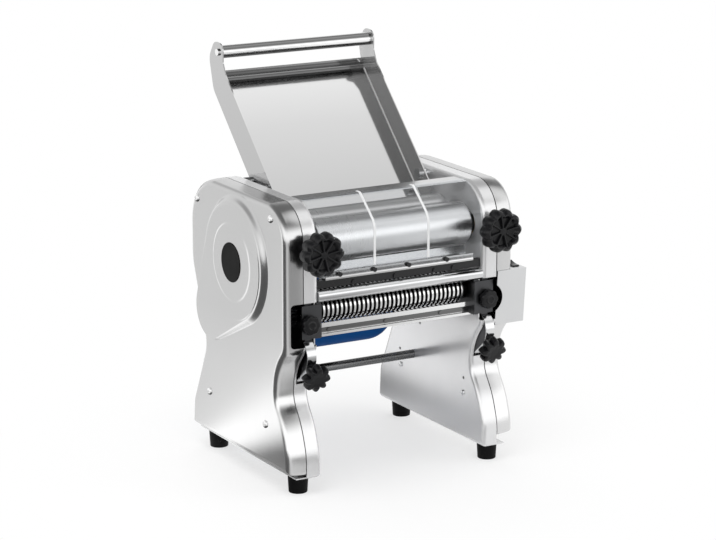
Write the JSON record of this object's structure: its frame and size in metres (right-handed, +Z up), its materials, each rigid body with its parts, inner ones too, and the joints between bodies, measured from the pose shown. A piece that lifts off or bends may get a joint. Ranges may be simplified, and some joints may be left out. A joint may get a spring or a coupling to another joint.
{
  "type": "electric pasta maker",
  "caption": "Bench-top electric dough sheeter with two side housings, pressing rollers, a noodle cutter cassette and a tilting hopper tray.",
  "frame": {"origin": "middle of the footprint at the table, below the centre of the bounding box", "axes": "+X to the right as the user stands in front, -Y towards the user (knobs and noodle outlet), +Z up"},
  "size_m": [0.341, 0.3224, 0.5036],
  "materials": {
    "brushed_stainless": "satin brushed",
    "polished_stainless": "mirror polished",
    "dark_steel": "oiled",
    "machined_steel": "machined",
    "zinc_plated": "zinc plated",
    "bronze": "machined",
    "cast_iron": "machined",
    "motor_blue": "semi-gloss paint",
    "motor_core": "laminated",
    "knob_black": "satin moulded",
    "switch_black": "glossy moulded",
    "badge_black": "glossy",
    "foot_rubber": "matt",
    "belt_rubber": "matt",
    "black_oxide": "black oxide",
    "clear_guard": "clear polycarbonate",
    "white_plastic": "satin"
  },
  "bodies": {
    "frame": {"left_inner_panel": "brushed_stainless", "right_inner_panel": "brushed_stainless", "left_frame_plate": "dark_steel", "right_frame_plate": "dark_steel", "left_cover": "brushed_stainless", "right_cover": "brushed_stainless", "cover_standoffs": "zinc_plated", "cover_screws": "zinc_plated", "badge_disc": "badge_black", "rubber_feet": "foot_rubber", "foot_bolts": "zinc_plated", "lower_tie_rod": "dark_steel", "tray_stop_bar": "machined_steel", "front_cross_bar": "machined_steel", "scraper_bar": "black_oxide", "roller_scrapers": "machined_steel", "guard_rail": "polished_stainless", "rail_screws": "black_oxide", "roller_guard": "clear_guard", "guard_ribs": "white_plastic", "guard_top_strip": "brushed_stainless", "rear_bearings": "bronze", "idler_stud": "machined_steel", "jackshaft_bearing": "bronze", "drive_belt": "belt_rubber", "motor_shell": "motor_blue", "motor_front_shield": "motor_blue", "motor_end_bell": "motor_blue", "motor_stator": "motor_core", "cutter_end_plates": "dark_steel", "cutter_combs": "polished_stainless", "cutter_front_plate": "polished_stainless", "nose_bands": "polished_stainless", "tray_pivot_bolts": "zinc_plated", "switch_box": "brushed_stainless", "cable_gland": "knob_black"},
    "carriage": {"bearing_blocks": "bronze", "adjusting_spindles": "zinc_plated"},
    "front_roller_unit": {"front_roller": "machined_steel", "front_roller_gear": "dark_steel"},
    "rear_roller_unit": {"rear_roller": "machined_steel", "rear_roller_gears": "dark_steel"},
    "idler": {"idler_gear": "dark_steel"},
    "jackshaft_unit": {"jackshaft": "machined_steel", "drive_pulley": "cast_iron"},
    "rotor": {"motor_rotor": "machined_steel", "motor_pulley": "cast_iron"},
    "front_cutter": {"front_cutter_shaft": "machined_steel", "front_cutter_gear": "dark_steel"},
    "rear_cutter": {"rear_cutter_shaft": "machined_steel", "rear_cutter_gear": "dark_steel"},
    "left_gap_knob": {"adjusting_knob_left": "knob_black"},
    "right_gap_knob": {"adjusting_knob_right": "knob_black"},
    "left_cassette_knob": {"cassette_knob_left": "knob_black"},
    "right_cassette_knob": {"cassette_knob_right": "knob_black"},
    "left_clamp_knob": {"clamp_knob_left": "knob_black"},
    "right_clamp_knob": {"clamp_knob_right": "knob_black"},
    "tray": {"hopper_tray": "polished_stainless", "handle_tube": "polished_stainless"},
    "rocker": {"rocker_switch": "switch_black"}
  },
  "joints": [
    {"name": "motor_spin", "type": "hinge", "parent": "frame", "child": "rotor", "pos_m": [-0.065, 0.0568, 0.19], "axis": [1, 0, 0], "continuous": true},
    {"name": "jackshaft_spin", "type": "hinge", "parent": "frame", "child": "jackshaft_unit", "pos_m": [-0.145, -0.0022, 0.26072], "axis": [1, 0, 0], "continuous": true},
    {"name": "rear_roller_spin", "type": "hinge", "parent": "frame", "child": "rear_roller_unit", "pos_m": [-0.005, -0.037, 0.298], "axis": [1, 0, 0], "continuous": true},
    {"name": "front_roller_spin", "type": "hinge", "parent": "carriage", "child": "front_roller_unit", "pos_m": [-0.005, -0.0892, 0.298], "axis": [1, 0, 0], "continuous": true},
    {"name": "idler_spin", "type": "hinge", "parent": "frame", "child": "idler", "pos_m": [-0.134, -0.04177, 0.24923], "axis": [1, 0, 0], "continuous": true},
    {"name": "rear_cutter_spin", "type": "hinge", "parent": "frame", "child": "rear_cutter", "pos_m": [-0.005, -0.0602, 0.216], "axis": [1, 0, 0], "continuous": true},
    {"name": "front_cutter_spin", "type": "hinge", "parent": "frame", "child": "front_cutter", "pos_m": [-0.005, -0.0902, 0.216], "axis": [1, 0, 0], "continuous": true},
    {"name": "left_gap_knob_turn", "type": "hinge", "parent": "frame", "child": "left_gap_knob", "pos_m": [-0.1275, -0.1612, 0.298], "axis": [0, 1, 0], "range_deg": [0, 960.5]},
    {"name": "right_gap_knob_turn", "type": "hinge", "parent": "frame", "child": "right_gap_knob", "pos_m": [0.1175, -0.1612, 0.298], "axis": [0, 1, 0], "range_deg": [0, 960.5]},
    {"name": "roller_gap", "type": "slide", "parent": "frame", "child": "carriage", "axis": [0, -1, 0], "range_m": [0, 0.004]},
    {"name": "left_cassette_knob_turn", "type": "hinge", "parent": "frame", "child": "left_cassette_knob", "pos_m": [-0.1285, -0.1292, 0.207], "axis": [0, -1, 0], "range_deg": [0, 360]},
    {"name": "right_cassette_knob_turn", "type": "hinge", "parent": "frame", "child": "right_cassette_knob", "pos_m": [0.1185, -0.1292, 0.207], "axis": [0, -1, 0], "range_deg": [0, 360]},
    {"name": "left_clamp_knob_turn", "type": "hinge", "parent": "frame", "child": "left_clamp_knob", "pos_m": [-0.1275, -0.1422, 0.1435], "axis": [0, -0.9397, -0.342], "range_deg": [0, 360]},
    {"name": "right_clamp_knob_turn", "type": "hinge", "parent": "frame", "child": "right_clamp_knob", "pos_m": [0.1175, -0.1422, 0.1435], "axis": [0, -0.9397, -0.342], "range_deg": [0, 360]},
    {"name": "tray_tilt", "type": "hinge", "parent": "frame", "child": "tray", "pos_m": [-0.005, 0.0108, 0.34], "axis": [1, 0, 0], "range_deg": [0, 110]},
    {"name": "rocker_tilt", "type": "hinge", "parent": "frame", "child": "rocker", "pos_m": [0.1625, -0.1072, 0.2375], "axis": [1, 0, 0], "range_deg": [-20, 0]}
  ],
  "couplings": [
    {"joint": "jackshaft_spin", "follows": "motor_spin", "ratio": 0.26871},
    {"joint": "rear_roller_spin", "follows": "motor_spin", "ratio": -0.13435},
    {"joint": "front_roller_spin", "follows": "motor_spin", "ratio": 0.13435},
    {"joint": "idler_spin", "follows": "motor_spin", "ratio": 0.15188},
    {"joint": "rear_cutter_spin", "follows": "motor_spin", "ratio": -0.23288},
    {"joint": "front_cutter_spin", "follows": "motor_spin", "ratio": 0.23288},
    {"joint": "left_gap_knob_turn", "follows": "roller_gap", "rad_per_m": 4188.8},
    {"joint": "right_gap_knob_turn", "follows": "roller_gap", "rad_per_m": 4188.8}
  ]
}
